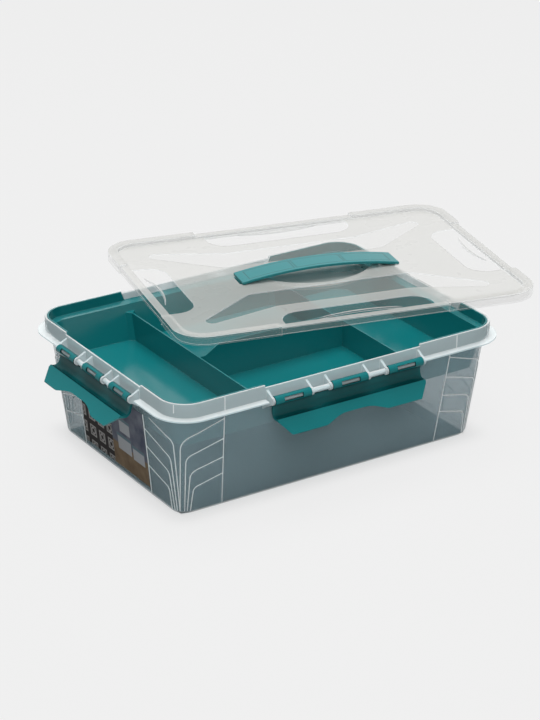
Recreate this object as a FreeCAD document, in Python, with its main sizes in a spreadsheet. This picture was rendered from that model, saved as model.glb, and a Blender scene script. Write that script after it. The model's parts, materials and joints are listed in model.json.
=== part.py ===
"""A storage box with a lift-out tray, a strap-handled lid lying askew on it, and four open latches."""
import FreeCAD
import Part
import Sketcher
import math
import os
import re

# The box stands on z = 0 with its long side along X and its front towards -Y. Millimetres and degrees.
SIZES = [
    # Tub
    ("collar_length", 375, "outside length of the collar round the mouth"),
    ("collar_width", 275, "outside width of the collar"),
    ("collar_radius", 28.5, "outside corner radius of the collar"),
    ("box_height", 125.5, "height of the rim at the corners"),
    ("wall", 1.8, "wall of the tub"),
    ("collar_height", 15.9, "height of the collar, from the ledge under it to the rim"),
    ("collar_step", 5, "how far the collar stands out from the wall below it"),
    ("end_lean", 10.5, "how far an end wall leans in from the ledge to its foot"),
    ("side_lean", 17, "how far a long wall leans in from the ledge to its foot"),
    ("base_radius", 16, "corner radius at the foot of the walls"),
    ("foot_bevel", 3, "bevel round the bottom edge"),
    ("floor_thickness", 2.4, "floor of the tub"),
    ("panel_end_margin", 26, "the sunk panel in the floor, in from the foot of an end wall"),
    ("panel_side_margin", 40.5, "that panel, in from the foot of a long wall"),
    ("panel_radius", 12, "corner radius of that panel"),
    ("panel_depth", 0.8, "depth of that panel"),
    ("flange_reach", 7.5, "reach of the corner flange beyond the collar"),
    ("flange_thickness", 1.8, "thickness of the corner flange"),
    ("rim_drop", 2.4, "how much lower the rim is behind a latch"),
    # Hinge bars and their ears
    ("hinge_offset", 8.5, "hinge axis out from the collar"),
    ("hinge_drop", 13.5, "hinge axis below the rim"),
    ("bar_radius", 2.6, "hinge bar"),
    ("ear_radius", 4, "round end of an ear"),
    ("ear_thickness", 2.5, "thickness of an ear"),
    ("ear_rise", 9, "how far an ear's fin climbs the collar above the hinge axis"),
    ("web_drop", 13, "how far the web under an end ear reaches below the hinge axis"),
    ("hinge_play", 0.4, "side play between a knuckle and the ear beside it"),
    # Latches
    ("long_latch", 170, "length of the front and back latches"),
    ("long_knuckle", 40.5, "length of one of their three knuckles"),
    ("short_latch", 139, "length of the side latches"),
    ("short_knuckle", 35, "length of one of their three knuckles"),
    ("knuckle_radius", 4.5, "outside of a knuckle"),
    ("bar_clearance", 0.3, "gap round the bar inside a knuckle"),
    ("window_share", 0.52, "window length as a share of its knuckle"),
    ("window_height", 4.4, "height of a knuckle window"),
    ("latch_wall", 2.2, "thickness of the moulding"),
    ("back_set", 2.8, "how far the back of the trough lies behind the hinge axis"),
    ("trough_drop", 19.2, "depth of the trough below the hinge axis"),
    ("trough_radius", 6, "inside radius of the trough"),
    ("ridge_out", 7, "the hooking ridge, out from the hinge axis"),
    ("ridge_drop", 16.8, "the hooking ridge, below the hinge axis"),
    ("tab_out", 16.2, "tip of the grip tab, out from the hinge axis"),
    ("tab_drop", 32, "tip of the grip tab, below the hinge axis"),
    ("tab_inset", 12, "how much shorter the tab's tip is at each end"),
    ("tab_round", 5, "rounding of the tab's corners"),
    ("scallop_half", 40, "half length of the finger cut in the tab's edge"),
    ("scallop_floor", 17, "half length of the level middle of that cut"),
    ("scallop_depth", 7.5, "depth of that cut"),
    ("scallop_sweep", 46, "radius of the sweeps at each end of that cut"),
    ("bay_margin", 4, "a latch bay beyond each end of its latch"),
    ("side_latch_lift", 14, "how far the side latches stand out from the hanging position"),
    # Tray
    ("tray_clearance", 0.5, "gap between the tray and the collar"),
    ("tray_seat_gap", 0.3, "gap between the tray and the ledge that carries it"),
    ("tray_wall", 1.6, "wall of the tray"),
    ("tray_slack", 1, "gap between the tray and the wall below the ledge"),
    ("tray_end_gap", 2.9, "gap between the tray's underside and an end wall"),
    ("tray_side_gap", 5.3, "gap between the tray's underside and a long wall"),
    ("tray_base_radius", 18, "corner radius at the tray's underside"),
    ("tray_depth", 49.5, "underside of the tray below the rim"),
    ("tray_floor", 2, "floor of the tray"),
    ("shelf_slope", 2.2, "rise of the sloping shelf inside the tray's collar"),
    ("divider_drop", 19.5, "top of the tray's dividers below the rim"),
    ("divider_wall", 1.6, "thickness of a divider"),
    ("divider_place", 85, "cross dividers, each side of the middle"),
    ("partition_place", 10, "lengthwise partition, in front of the middle"),
    ("grip_drop", 10.1, "top of the partition's lifting grip below the rim"),
    ("grip_half", 62, "half length of the lifting grip"),
    ("grip_ramp", 16, "length of the ramp up to it"),
    ("gusset_leg", 7, "corner gusset where a divider meets the wall"),
    ("dip_depth", 9.5, "how deep the tray's collar is cut down behind a latch"),
    ("dip_slope", 2, "slope of the step at each end of that dip"),
    # Lid
    ("skirt_clearance", 0.6, "gap between the lid's skirt and the collar"),
    ("lid_wall", 1.8, "wall of the lid"),
    ("lid_height", 9.5, "skirt of the lid, to the top of the border"),
    ("corner_outset", 2, "how far the lid's corners stand out from its sides"),
    ("border_drop", 1.8, "how much lower the border is at a latch"),
    ("border_width", 8.6, "width of the raised border at the corners"),
    ("plate_drop", 4, "plate of the lid below its border"),
    ("hollow_depth", 0.8, "depth of the hollows in the plate"),
    ("bow_near", 0.284, "near edge of a bow-shaped hollow from the lid's middle, by half the collar's width"),
    ("bow_far", 0.575, "its far edge from the lid's middle, by half the collar's width"),
    ("bow_spread", 0.756, "how far its ends spread from there, by half the collar's width"),
    ("bow_half", 0.384, "half length of its straight far edge, by half the collar's length"),
    ("bow_neck", 0.47, "half length of its straight near edge, by half the collar's length"),
    ("bow_end", 0.81, "half length of the whole hollow, by half the collar's length"),
    ("bow_round", 7, "rounding of its corners"),
    ("pocket_reach", 33, "reach of a finger pocket from the border"),
    ("pocket_round", 22, "inner corner radius of a finger pocket"),
    ("pocket_margin", 5, "a finger pocket inside each end of its latch"),
    ("catch_half", 44, "half length of the crescent rib that a latch catches, on a long side"),
    ("catch_share", 0.82, "the same rib on a short side, as a share of that"),
    ("catch_inset", 6, "ends of that rib from the pocket's outer edge"),
    ("catch_bow", 7, "how far its inner edge bows away from its ends"),
    ("catch_width", 2, "width of that rib at its middle"),
    ("catch_rise", 1.2, "that rib above the plate"),
    ("well_half", 62, "half length of the lens-shaped well under the handle"),
    ("well_reach", 34, "how far that well reaches each side of the handle's middle"),
    ("well_depth", 5, "depth of that well below the plate"),
    # Handle
    ("handle_half", 86, "half length of the strap handle"),
    ("handle_width", 30, "width of the strap"),
    ("handle_wall", 2.8, "thickness of the strap"),
    ("handle_rise", 8, "rise of the strap's arch"),
    ("handle_seat_gap", 0.3, "gap between the strap's ends and the plate"),
    ("tongue_width", 20, "width of the tongue through a lid slot"),
    ("tongue_length", 5, "length of that tongue"),
    ("tongue_inset", 2, "the tongue in from the end of the strap"),
    ("foot_length", 5, "how far the foot reaches under the plate"),
    ("foot_thickness", 1.1, "thickness of that foot"),
    ("foot_gap", 0.3, "gap between the foot and the plate"),
    ("slot_play", 3, "travel of the tongue along its slot, each way"),
    ("slot_side_gap", 0.6, "gap at each side of the tongue"),
    # Label
    ("label_width", 126, "width of the label"),
    ("label_margin", 29.6, "how much shorter the label is than the wall below the ledge"),
    ("label_thickness", 0.25, "thickness of the label"),
    ("label_bottom", 7, "lower edge of the label along the wall"),
    ("label_gap", 0.03, "adhesive between the label and the wall"),
    # The lid as it lies on the box
    ("lid_aside", 0.5627, "middle of the lid to the right of the box's, by half the collar's length"),
    ("lid_behind", 0.5018, "middle of the lid behind the box's, by half the collar's width"),
    ("lid_turn", -13, "turn of the lid about the vertical"),
    ("lid_rest_gap", 0.3, "gap under the lid where it rests"),
]

doc = FreeCAD.newDocument("storage_box")
sheet = doc.addObject("Spreadsheet::Sheet", "Sizes")
for row, (alias, number, meaning) in enumerate(SIZES, start=1):
    sheet.set(f"A{row}", str(number))
    sheet.setAlias(f"A{row}", alias)
    sheet.set(f"B{row}", meaning)
doc.recompute()

ALIAS = re.compile(r"\b(" + "|".join(alias for alias, _, _ in SIZES) + r")\b")


def formula(text):
    """The text of a size with the sheet's name before each of its aliases."""
    return ALIAS.sub(r"Sizes.\1", str(text))


def value(text):
    """The number that such a text stands for now."""
    return float(sheet.evalExpression(formula(text)))


# Sizes that several pieces share, worked out from the sheet.
HALF_LENGTH = "collar_length / 2"
HALF_WIDTH = "collar_width / 2"
LEDGE = "(box_height - collar_height)"
LEDGE_TOP = f"({LEDGE} + flange_thickness)"
HINGE = "(box_height - hinge_drop)"
BODY_HALF_LENGTH = "(collar_length / 2 - collar_step)"
BODY_HALF_WIDTH = "(collar_width / 2 - collar_step)"
BODY_RADIUS = "(collar_radius - collar_step)"
FOOT_HALF_LENGTH = f"({BODY_HALF_LENGTH} - end_lean)"
FOOT_HALF_WIDTH = f"({BODY_HALF_WIDTH} - side_lean)"
LONG_BAY = "(long_latch / 2 + bay_margin)"
SHORT_BAY = "(short_latch / 2 + bay_margin)"


# Drawing helpers

def new_sketch(body, name, role, level="0"):
    """A sketch on one of the body's origin planes, moved along that plane's normal to a level."""
    sketch = body.newObject("Sketcher::SketchObject", name)
    plane = next(item for item in body.Origin.OriginFeatures if item.Role == role)
    sketch.AttachmentSupport = [(plane, "")]
    sketch.MapMode = "FlatFace"
    sketch.setExpression("AttachmentOffset.Base.z", formula(level))
    return sketch


def bind(sketch, kind, *where_and_text):
    """A dimension of the sketch that follows the sheet."""
    *where, text = where_and_text
    number = sketch.addConstraint(Sketcher.Constraint(kind, *where, value(text)))
    sketch.setExpression(f"Constraints[{number}]", formula(text))


def pin(sketch, edge, end, x, y):
    bind(sketch, "DistanceX", edge, end, x)
    bind(sketch, "DistanceY", edge, end, y)


def point(x, y):
    return FreeCAD.Vector(value(x), value(y), 0)


def polygon(sketch, corners):
    """A closed outline of straight edges through corners, each a pair of sizes."""
    first = sketch.GeometryCount
    count = len(corners)
    for index, (x, y) in enumerate(corners):
        next_x, next_y = corners[(index + 1) % count]
        sketch.addGeometry(Part.LineSegment(point(x, y), point(next_x, next_y)))
    for index, (x, y) in enumerate(corners):
        following = first + (index + 1) % count
        sketch.addConstraint(Sketcher.Constraint("Coincident", first + index, 2, following, 1))
        pin(sketch, first + index, 1, x, y)


def rectangle(sketch, low_x, low_y, high_x, high_y):
    polygon(sketch, [(low_x, low_y), (high_x, low_y), (high_x, high_y), (low_x, high_y)])


def circle(sketch, x, y, radius):
    edge = sketch.addGeometry(Part.Circle(point(x, y), FreeCAD.Vector(0, 0, 1), value(radius)))
    pin(sketch, edge, 3, x, y)
    bind(sketch, "Radius", edge, radius)


def rounded_polygon(sketch, corners):
    """A closed outline, anticlockwise, whose corners are (x, y, radius) with tangent arcs."""
    count = len(corners)
    plain = [point(x, y) for x, y, _ in corners]
    arcs = []
    lines = []
    starts = []
    ends = []
    centres = []
    for index, (_, _, radius) in enumerate(corners):
        here = plain[index]
        to_last = (plain[index - 1] - here).normalize()
        to_next = (plain[(index + 1) % count] - here).normalize()
        half_angle = to_last.getAngle(to_next) / 2
        reach = value(radius) / math.tan(half_angle)
        middle = (to_last + to_next).normalize()
        centres.append(here + middle * (value(radius) / math.sin(half_angle)))
        starts.append(here + to_last * reach)
        ends.append(here + to_next * reach)
    for index, (_, _, radius) in enumerate(corners):
        middle = centres[index] + (plain[index] - centres[index]).normalize() * value(radius)
        turn = (plain[index] - plain[index - 1]).cross(plain[(index + 1) % count] - plain[index]).z
        arcs.append((sketch.addGeometry(Part.Arc(starts[index], middle, ends[index])), turn > 0))
        lines.append(sketch.addGeometry(Part.LineSegment(ends[index], starts[(index + 1) % count])))
    for index, (x, y, radius) in enumerate(corners):
        arc, left_turn = arcs[index]
        entry, leave = (1, 2) if left_turn else (2, 1)
        sketch.addConstraint(Sketcher.Constraint("Tangent", lines[index - 1], 2, arc, entry))
        sketch.addConstraint(Sketcher.Constraint("Tangent", arc, leave, lines[index], 1))
        bind(sketch, "Radius", arc, radius)
        corner = sketch.addGeometry(Part.Point(plain[index]), True)
        sketch.addConstraint(Sketcher.Constraint("PointOnObject", corner, 1, lines[index - 1]))
        sketch.addConstraint(Sketcher.Constraint("PointOnObject", corner, 1, lines[index]))
        pin(sketch, corner, 1, x, y)


def rounded_rectangle(sketch, half_x, half_y, radius):
    rounded_polygon(sketch, [
        (f"-({half_x})", f"-({half_y})", radius),
        (f"({half_x})", f"-({half_y})", radius),
        (f"({half_x})", f"({half_y})", radius),
        (f"-({half_x})", f"({half_y})", radius),
    ])


def two_arcs(sketch, half, base, bows, upright=False):
    """A lens or crescent: two arcs of given bows over one chord, of a half length, at a distance base."""
    ends = [(f"-{half}", base), (half, base)]
    if upright:
        ends = [(y, x) for x, y in ends]
    arcs = []
    for bow in bows:
        crown = ("0", f"{base} + {bow}")
        if upright:
            crown = crown[::-1]
        arc = sketch.addGeometry(Part.Arc(point(*ends[0]), point(*crown), point(*ends[1])))
        start = sketch.getPoint(arc, 1)
        forward = start.distanceToPoint(point(*ends[0])) < start.distanceToPoint(point(*ends[1]))
        arcs.append((arc, (1, 2) if forward else (2, 1)))
        bind(sketch, "Radius", arc, f"(({half}) * ({half}) + ({bow}) * ({bow})) / (2 * abs({bow}))")
    (one, one_ends), (other, other_ends) = arcs
    for one_end, other_end in zip(one_ends, other_ends):
        sketch.addConstraint(Sketcher.Constraint("Coincident", one, one_end, other, other_end))
    for end, (x, y) in zip(one_ends, ends):
        pin(sketch, one, end, x, y)


def extrude(body, kind, name, sketch, length=None, symmetric=False, backwards=False):
    """A Pad or Pocket of a sketch. Without a length, a Pocket goes through everything both ways."""
    item = body.newObject("PartDesign::" + kind, name)
    item.Profile = sketch
    if symmetric or length is None:
        item.SideType = "Symmetric"
    if length is None:
        item.Type = "ThroughAll"
    else:
        item.setExpression("Length", formula(length))
    item.Reversed = backwards
    return item


def loft(body, kind, name, low, high):
    item = body.newObject("PartDesign::" + kind, name)
    item.Profile = low
    item.Sections = [high]
    item.Ruled = True
    return item


def ring_sketch(body, name, level, half_x, half_y, radius):
    sketch = new_sketch(body, name, "XY_Plane", level)
    rounded_rectangle(sketch, half_x, half_y, radius)
    return sketch


def four_sides(sketch, long_half, short_half, length_in, length_out, width_in, width_out):
    """A rectangle at the middle of each side, between an inner and an outer line."""
    rectangle(sketch, f"-{long_half}", f"-({width_out})", f"{long_half}", f"-({width_in})")
    rectangle(sketch, f"-{long_half}", f"{width_in}", f"{long_half}", f"{width_out}")
    rectangle(sketch, f"-({length_out})", f"-{short_half}", f"-({length_in})", f"{short_half}")
    rectangle(sketch, f"{length_in}", f"-{short_half}", f"{length_out}", f"{short_half}")


def mirror_both_ways(body, name, originals):
    """Copies of features on the other end and the other side of the box."""
    copies = body.newObject("PartDesign::MultiTransform", name)
    mirrors = []
    for role in ("YZ_Plane", "XZ_Plane"):
        mirror = body.newObject("PartDesign::Mirrored", f"{name}_{role[:2]}")
        plane = next(item for item in body.Origin.OriginFeatures if item.Role == role)
        mirror.MirrorPlane = (plane, [""])
        mirrors.append(mirror)
    copies.Originals = originals
    copies.Transformations = mirrors
    body.Tip = copies
    return copies


def new_body(label):
    body = doc.addObject("PartDesign::Body", label)
    body.Label = label
    return body


# Tub

def ear_positions(latch, knuckle):
    """Inner face of each ear beyond the middle: beside the middle knuckle, then both ends of the end one."""
    return [
        f"({knuckle} / 2 + hinge_play)",
        f"({latch} / 2 - {knuckle} - hinge_play - ear_thickness)",
        f"({latch} / 2 + hinge_play)",
    ]


def hinge_bar(body, side, role, face, latch, knuckle):
    """A bar along one side of the tub on six ears, and the same on the opposite side."""
    axis = f"-({face} + hinge_offset)"
    bar = new_sketch(body, f"{side}_bar_outline", role)
    circle(bar, axis, HINGE, "bar_radius")
    pads = [extrude(body, "Pad", f"{side}_bar", bar, f"{latch} + 2 * (hinge_play + ear_thickness)", True)]
    inside = f"-({face} - wall / 2)"
    for number, place in enumerate(ear_positions(latch, knuckle), start=1):
        fin = new_sketch(body, f"{side}_fin_outline_{number}", role, place)
        ledge = f"{LEDGE} + flange_thickness / 2"
        outline = [(axis, f"{HINGE} - ear_radius"), (axis, f"{HINGE} + ear_radius"),
                   (inside, f"{HINGE} + ear_rise"), (inside, ledge)]
        if number == 3:
            outline.append((f"-({face} - collar_step - wall / 2)", ledge))
            outline.append((f"-({face} - collar_step - wall)", f"{HINGE} - web_drop"))
        polygon(fin, outline)
        pads.append(extrude(body, "Pad", f"{side}_fin_{number}", fin, "ear_thickness"))
        disc = new_sketch(body, f"{side}_ear_outline_{number}", role, place)
        circle(disc, axis, HINGE, "ear_radius")
        pads.append(extrude(body, "Pad", f"{side}_ear_{number}", disc, "ear_thickness"))
    return pads


def make_tub():
    body = new_body("box_body")
    foot = ring_sketch(body, "foot_outline", "0", f"{FOOT_HALF_LENGTH} - foot_bevel",
                       f"{FOOT_HALF_WIDTH} - foot_bevel", "base_radius - foot_bevel")
    base = ring_sketch(body, "base_outline", "foot_bevel", FOOT_HALF_LENGTH, FOOT_HALF_WIDTH, "base_radius")
    loft(body, "AdditiveLoft", "foot", foot, base)
    wall_foot = ring_sketch(body, "wall_foot", "foot_bevel", FOOT_HALF_LENGTH, FOOT_HALF_WIDTH, "base_radius")
    wall_head = ring_sketch(body, "wall_head", LEDGE, BODY_HALF_LENGTH, BODY_HALF_WIDTH, BODY_RADIUS)
    loft(body, "AdditiveLoft", "walls", wall_foot, wall_head)
    collar = ring_sketch(body, "collar_outline", LEDGE, HALF_LENGTH, HALF_WIDTH, "collar_radius")
    extrude(body, "Pad", "collar", collar, "collar_height")
    flange = ring_sketch(body, "flange_outline", LEDGE, HALF_LENGTH + " + flange_reach",
                         HALF_WIDTH + " + flange_reach", "collar_radius + flange_reach")
    extrude(body, "Pad", "flange", flange, "flange_thickness")
    bays = new_sketch(body, "bay_outline", "XY_Plane", LEDGE_TOP)
    beyond = "+ 2 * flange_reach"
    four_sides(bays, LONG_BAY, SHORT_BAY, HALF_LENGTH, f"{HALF_LENGTH} {beyond}",
               HALF_WIDTH, f"{HALF_WIDTH} {beyond}")
    extrude(body, "Pocket", "latch_bays", bays, "flange_thickness")
    inner_foot = ring_sketch(body, "inner_foot", "floor_thickness", f"{FOOT_HALF_LENGTH} - wall",
                             f"{FOOT_HALF_WIDTH} - wall", "base_radius - wall")
    inner_head = ring_sketch(body, "inner_head", LEDGE_TOP, BODY_HALF_LENGTH + " - wall",
                             BODY_HALF_WIDTH + " - wall", BODY_RADIUS + " - wall")
    loft(body, "SubtractiveLoft", "inside", inner_foot, inner_head)
    mouth = ring_sketch(body, "mouth_outline", "box_height", HALF_LENGTH + " - wall",
                        HALF_WIDTH + " - wall", "collar_radius - wall")
    extrude(body, "Pocket", "mouth", mouth, f"box_height - {LEDGE_TOP}")
    panel = ring_sketch(body, "panel_outline", "floor_thickness", f"{FOOT_HALF_LENGTH} - panel_end_margin",
                        f"{FOOT_HALF_WIDTH} - panel_side_margin", "panel_radius")
    extrude(body, "Pocket", "floor_panel", panel, "panel_depth")
    dips = new_sketch(body, "rim_dip_outline", "XY_Plane", "box_height")
    four_sides(dips, LONG_BAY, SHORT_BAY, f"{HALF_LENGTH} - 2 * wall", f"{HALF_LENGTH} + wall",
               f"{HALF_WIDTH} - 2 * wall", f"{HALF_WIDTH} + wall")
    extrude(body, "Pocket", "rim_dips", dips, "rim_drop")
    front = hinge_bar(body, "front", "YZ_Plane", HALF_WIDTH, "long_latch", "long_knuckle")
    mirror_both_ways(body, "long_side_hinges", front)
    left = hinge_bar(body, "left", "XZ_Plane", HALF_LENGTH, "short_latch", "short_knuckle")
    mirror_both_ways(body, "short_side_hinges", left)
    return body


# Tray

TRAY_HEAD_LENGTH = f"({BODY_HALF_LENGTH} - wall - tray_slack)"
TRAY_HEAD_WIDTH = f"({BODY_HALF_WIDTH} - wall - tray_slack)"
TRAY_HEAD_RADIUS = f"({BODY_RADIUS} - wall - tray_slack)"
TRAY_COLLAR_LENGTH = f"({HALF_LENGTH} - wall - tray_clearance)"
TRAY_COLLAR_WIDTH = f"({HALF_WIDTH} - wall - tray_clearance)"
TRAY_COLLAR_RADIUS = "(collar_radius - wall - tray_clearance)"
TRAY_SEAT = f"({LEDGE_TOP} + tray_seat_gap)"
TRAY_SHELF = f"({TRAY_SEAT} + tray_wall)"
TRAY_BOTTOM = "(box_height - tray_depth)"
TRAY_FLOOR_TOP = f"({TRAY_BOTTOM} + tray_floor)"
DIVIDER_TOP = "(box_height - divider_drop)"
GRIP_TOP = "(box_height - grip_drop)"
WALL_SHARE = f"(({LEDGE} - {TRAY_BOTTOM}) / ({LEDGE} - foot_bevel))"
TRAY_FOOT_LENGTH = f"({BODY_HALF_LENGTH} - end_lean * {WALL_SHARE} - wall - tray_end_gap)"
TRAY_FOOT_WIDTH = f"({BODY_HALF_WIDTH} - side_lean * {WALL_SHARE} - wall - tray_side_gap)"


def tray_side_at(level):
    """From the tray's middle to the middle of its sloping long wall at a height."""
    share = f"(({level}) - {TRAY_BOTTOM}) / ({TRAY_SEAT} - {TRAY_BOTTOM})"
    return f"({TRAY_FOOT_WIDTH} + ({TRAY_HEAD_WIDTH} - {TRAY_FOOT_WIDTH}) * {share} - tray_wall / 2)"


def make_tray():
    body = new_body("insert_tray")
    outer_foot = ring_sketch(body, "tray_foot", TRAY_BOTTOM, TRAY_FOOT_LENGTH, TRAY_FOOT_WIDTH,
                             "tray_base_radius")
    outer_head = ring_sketch(body, "tray_head", TRAY_SEAT, TRAY_HEAD_LENGTH, TRAY_HEAD_WIDTH,
                             TRAY_HEAD_RADIUS)
    loft(body, "AdditiveLoft", "tray_walls", outer_foot, outer_head)
    collar = ring_sketch(body, "tray_collar_outline", TRAY_SEAT, TRAY_COLLAR_LENGTH, TRAY_COLLAR_WIDTH,
                         TRAY_COLLAR_RADIUS)
    extrude(body, "Pad", "tray_collar", collar, f"box_height - {TRAY_SEAT}")
    inner_foot = ring_sketch(body, "tray_inner_foot", TRAY_FLOOR_TOP, f"{TRAY_FOOT_LENGTH} - tray_wall",
                             f"{TRAY_FOOT_WIDTH} - tray_wall", "tray_base_radius - tray_wall")
    shelf_edge = ring_sketch(body, "shelf_edge", TRAY_SHELF, f"{TRAY_HEAD_LENGTH} - tray_wall",
                             f"{TRAY_HEAD_WIDTH} - tray_wall", f"{TRAY_HEAD_RADIUS} - tray_wall")
    loft(body, "SubtractiveLoft", "tray_inside", inner_foot, shelf_edge)
    shelf_low = ring_sketch(body, "shelf_low", TRAY_SHELF, f"{TRAY_HEAD_LENGTH} - tray_wall",
                            f"{TRAY_HEAD_WIDTH} - tray_wall", f"{TRAY_HEAD_RADIUS} - tray_wall")
    shelf_high = ring_sketch(body, "shelf_high", f"{TRAY_SHELF} + shelf_slope",
                             f"{TRAY_COLLAR_LENGTH} - tray_wall", f"{TRAY_COLLAR_WIDTH} - tray_wall",
                             f"{TRAY_COLLAR_RADIUS} - tray_wall")
    loft(body, "SubtractiveLoft", "shelf", shelf_low, shelf_high)
    mouth = ring_sketch(body, "tray_mouth_outline", "box_height", f"{TRAY_COLLAR_LENGTH} - tray_wall",
                        f"{TRAY_COLLAR_WIDTH} - tray_wall", f"{TRAY_COLLAR_RADIUS} - tray_wall")
    extrude(body, "Pocket", "tray_mouth", mouth, f"box_height - {TRAY_SHELF} - shelf_slope")
    tray_dips(body)
    tray_dividers(body)
    return body


def tray_dips(body):
    """The tray's collar is cut down behind each latch."""
    for name, role, bay in (("long", "XZ_Plane", LONG_BAY), ("short", "YZ_Plane", SHORT_BAY)):
        dip = new_sketch(body, f"{name}_dip_outline", role)
        top = "box_height + tray_wall"
        low = "box_height - dip_depth"
        polygon(dip, [(f"-({bay} - dip_slope)", low), (f"{bay} - dip_slope", low),
                      (f"{bay} + dip_slope", top), (f"-({bay} + dip_slope)", top)])
        extrude(body, "Pocket", f"{name}_dips", dip)


def tray_dividers(body):
    low = f"({TRAY_FLOOR_TOP} - tray_floor / 2)"
    low_wall = tray_side_at(low)
    high_wall = tray_side_at(DIVIDER_TOP)
    for name, sign in (("left", "-"), ("right", "")):
        across = new_sketch(body, f"{name}_divider_outline", "YZ_Plane", f"{sign}divider_place")
        polygon(across, [(f"-{low_wall}", low), (low_wall, low), (high_wall, DIVIDER_TOP),
                         (f"-{high_wall}", DIVIDER_TOP)])
        extrude(body, "Pad", f"{name}_divider", across, "divider_wall", True)
        for end, way in (("front", "-"), ("back", "")):
            feet = []
            for level, wall_line in ((low, low_wall), (DIVIDER_TOP, high_wall)):
                foot = new_sketch(body, f"{name}_{end}_gusset_{len(feet)}", "XY_Plane", level)
                polygon(foot, [(f"{sign}divider_place - gusset_leg", f"{way}{wall_line}"),
                               (f"{sign}divider_place + gusset_leg", f"{way}{wall_line}"),
                               (f"{sign}divider_place", f"{way}({wall_line} - gusset_leg)")])
                feet.append(foot)
            loft(body, "AdditiveLoft", f"{name}_{end}_gusset", *feet)
    along = new_sketch(body, "partition_outline", "XZ_Plane", "partition_place")
    polygon(along, [
        ("-divider_place", low), ("divider_place", low), ("divider_place", DIVIDER_TOP),
        ("grip_half + grip_ramp", DIVIDER_TOP), ("grip_half", GRIP_TOP), ("-grip_half", GRIP_TOP),
        ("-(grip_half + grip_ramp)", DIVIDER_TOP), ("-divider_place", DIVIDER_TOP),
    ])
    extrude(body, "Pad", "partition", along, "divider_wall", True)


# Lid, drawn about its own middle with the skirt's lower edge at z = 0

SKIRT_OUT = "(skirt_clearance + lid_wall)"
LID_LENGTH = f"({HALF_LENGTH} + {SKIRT_OUT} + corner_outset)"
LID_WIDTH = f"({HALF_WIDTH} + {SKIRT_OUT} + corner_outset)"
LID_RADIUS = f"(collar_radius + {SKIRT_OUT} + corner_outset)"
SIDE_LENGTH = f"({LID_LENGTH} - corner_outset)"
SIDE_WIDTH = f"({LID_WIDTH} - corner_outset)"
PAN_LENGTH = f"({LID_LENGTH} - border_width)"
PAN_WIDTH = f"({LID_WIDTH} - border_width)"
PAN_RADIUS = f"({LID_RADIUS} - border_width)"
PLATE_TOP = "(lid_height - plate_drop)"
PLATE_UNDER = f"({PLATE_TOP} - lid_wall)"
BORDER_UNDER = "(lid_height - lid_wall)"
SLOT_PLACE = "(handle_half - tongue_inset - tongue_length / 2)"


def bow_outline(sketch, way):
    """A bow-shaped hollow in front of or behind the handle, spreading towards the lid's corners."""
    corners = [
        (f"bow_neck * {HALF_LENGTH}", f"bow_near * {HALF_WIDTH}"),
        (f"bow_end * {HALF_LENGTH}", f"bow_spread * {HALF_WIDTH} - 2 * bow_round"),
        (f"bow_end * {HALF_LENGTH}", f"bow_spread * {HALF_WIDTH}"),
        (f"bow_half * {HALF_LENGTH}", f"bow_far * {HALF_WIDTH}"),
    ]
    right = [(x, f"{way}({y})", "bow_round") for x, y in corners]
    left = [(f"-({x})", f"{way}({y})", "bow_round") for x, y in corners]
    rounded_polygon(sketch, right + left[::-1] if way == "" else left + right[::-1])


def pocket_outlines(sketch):
    """The four finger pockets, each with two round inner corners and its straight side at the border."""
    small = "lid_wall"
    for along, outer, flip in (("(long_latch / 2 - pocket_margin)", f"({PAN_WIDTH} - lid_wall)", False),
                               ("(short_latch / 2 - pocket_margin)", f"({PAN_LENGTH} - lid_wall)", True)):
        inner = f"({outer} - pocket_reach)"
        outline = [(f"-{along}", outer, small), (f"-{along}", inner, "pocket_round"),
                   (along, inner, "pocket_round"), (along, outer, small)]
        for sign in ("-", ""):
            placed = [(x, f"{sign}{y}", radius) for x, y, radius in outline]
            if flip:
                placed = [(y, x, radius) for x, y, radius in placed]
            turns_back = (sign == "-") != flip
            rounded_polygon(sketch, placed[::-1] if turns_back else placed)


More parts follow.
